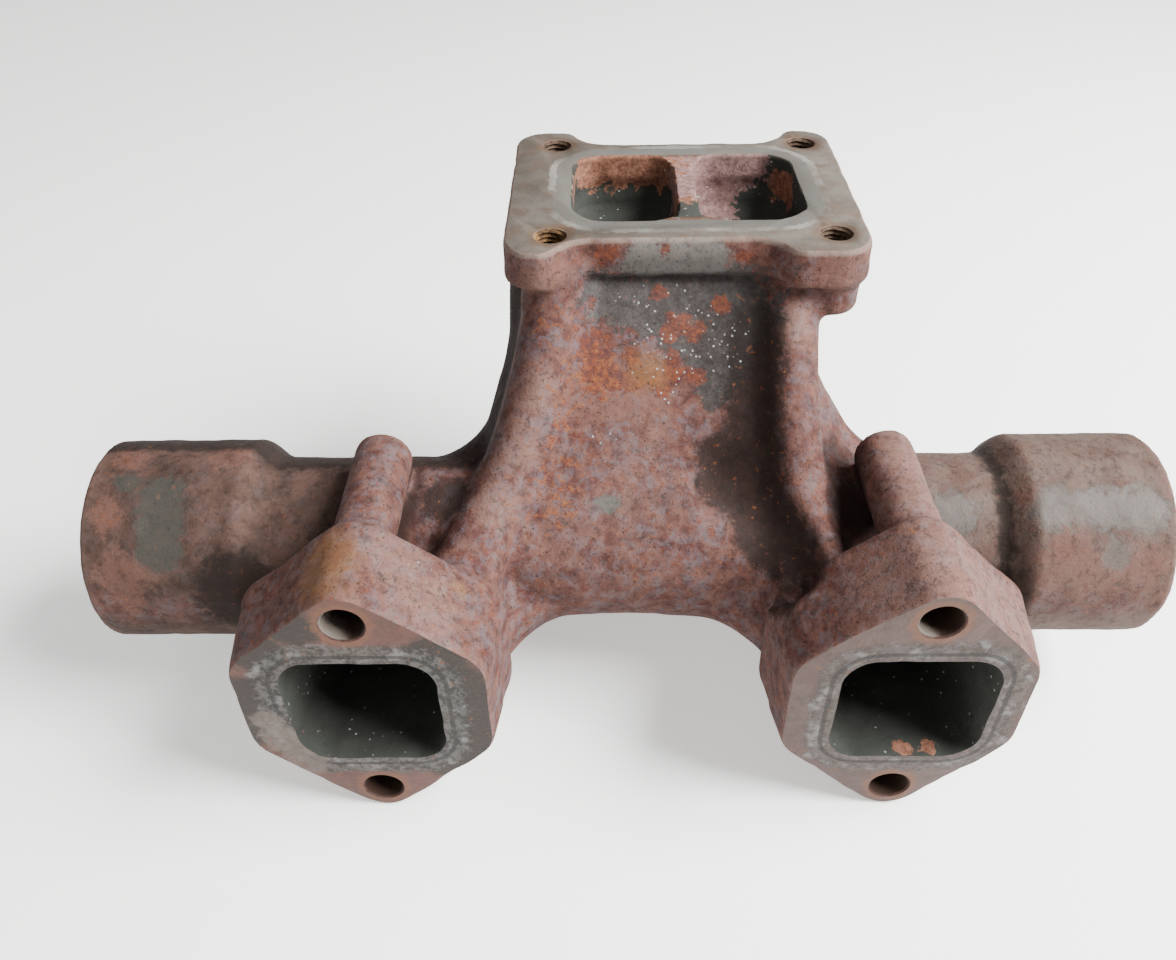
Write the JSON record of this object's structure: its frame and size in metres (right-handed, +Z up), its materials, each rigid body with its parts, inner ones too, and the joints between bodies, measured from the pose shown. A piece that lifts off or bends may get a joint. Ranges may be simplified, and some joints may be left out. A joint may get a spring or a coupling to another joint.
{
  "type": "exhaust manifold centre section",
  "caption": "Cast-iron exhaust manifold centre section: square-port head flanges with long bolt sleeves, a cross log with slip-joint sockets, and a leaning riser to a divided turbo flange",
  "frame": {"origin": "middle of the four head bolt holes, in the plane of the head faces", "axes": "+X along the engine, -Y out of the head faces towards the cylinder head, +Z up and square to the turbo flange face"},
  "size_m": [0.34, 0.1887, 0.1473],
  "materials": {
    "rough_iron": "rough sand-cast surface, rusty",
    "worn_iron": "smoother cast or turned surface, thin rust",
    "milled_iron": "milled flat, dulled, lightly rusted"
  },
  "bodies": {
    "root": {"head_flange_left": "worn_iron", "head_flange_right": "worn_iron", "port_block_left": "rough_iron", "port_block_right": "rough_iron", "bolt_sleeve_left": "rough_iron", "bolt_sleeve_right": "rough_iron", "port_runner_left": "rough_iron", "port_runner_right": "rough_iron", "neck_left": "rough_iron", "neck_right": "rough_iron", "log_left": "rough_iron", "log_right": "rough_iron", "bell_left": "worn_iron", "bell_right": "worn_iron", "riser_left": "rough_iron", "riser_right": "rough_iron", "rib_left": "rough_iron", "rib_right": "rough_iron", "stream_divider": "rough_iron", "turbo_flange": "milled_iron", "stud_boss_front_left": "rough_iron", "stud_boss_front_right": "rough_iron", "stud_boss_back_left": "rough_iron", "stud_boss_back_right": "rough_iron"}
  },
  "joints": []
}
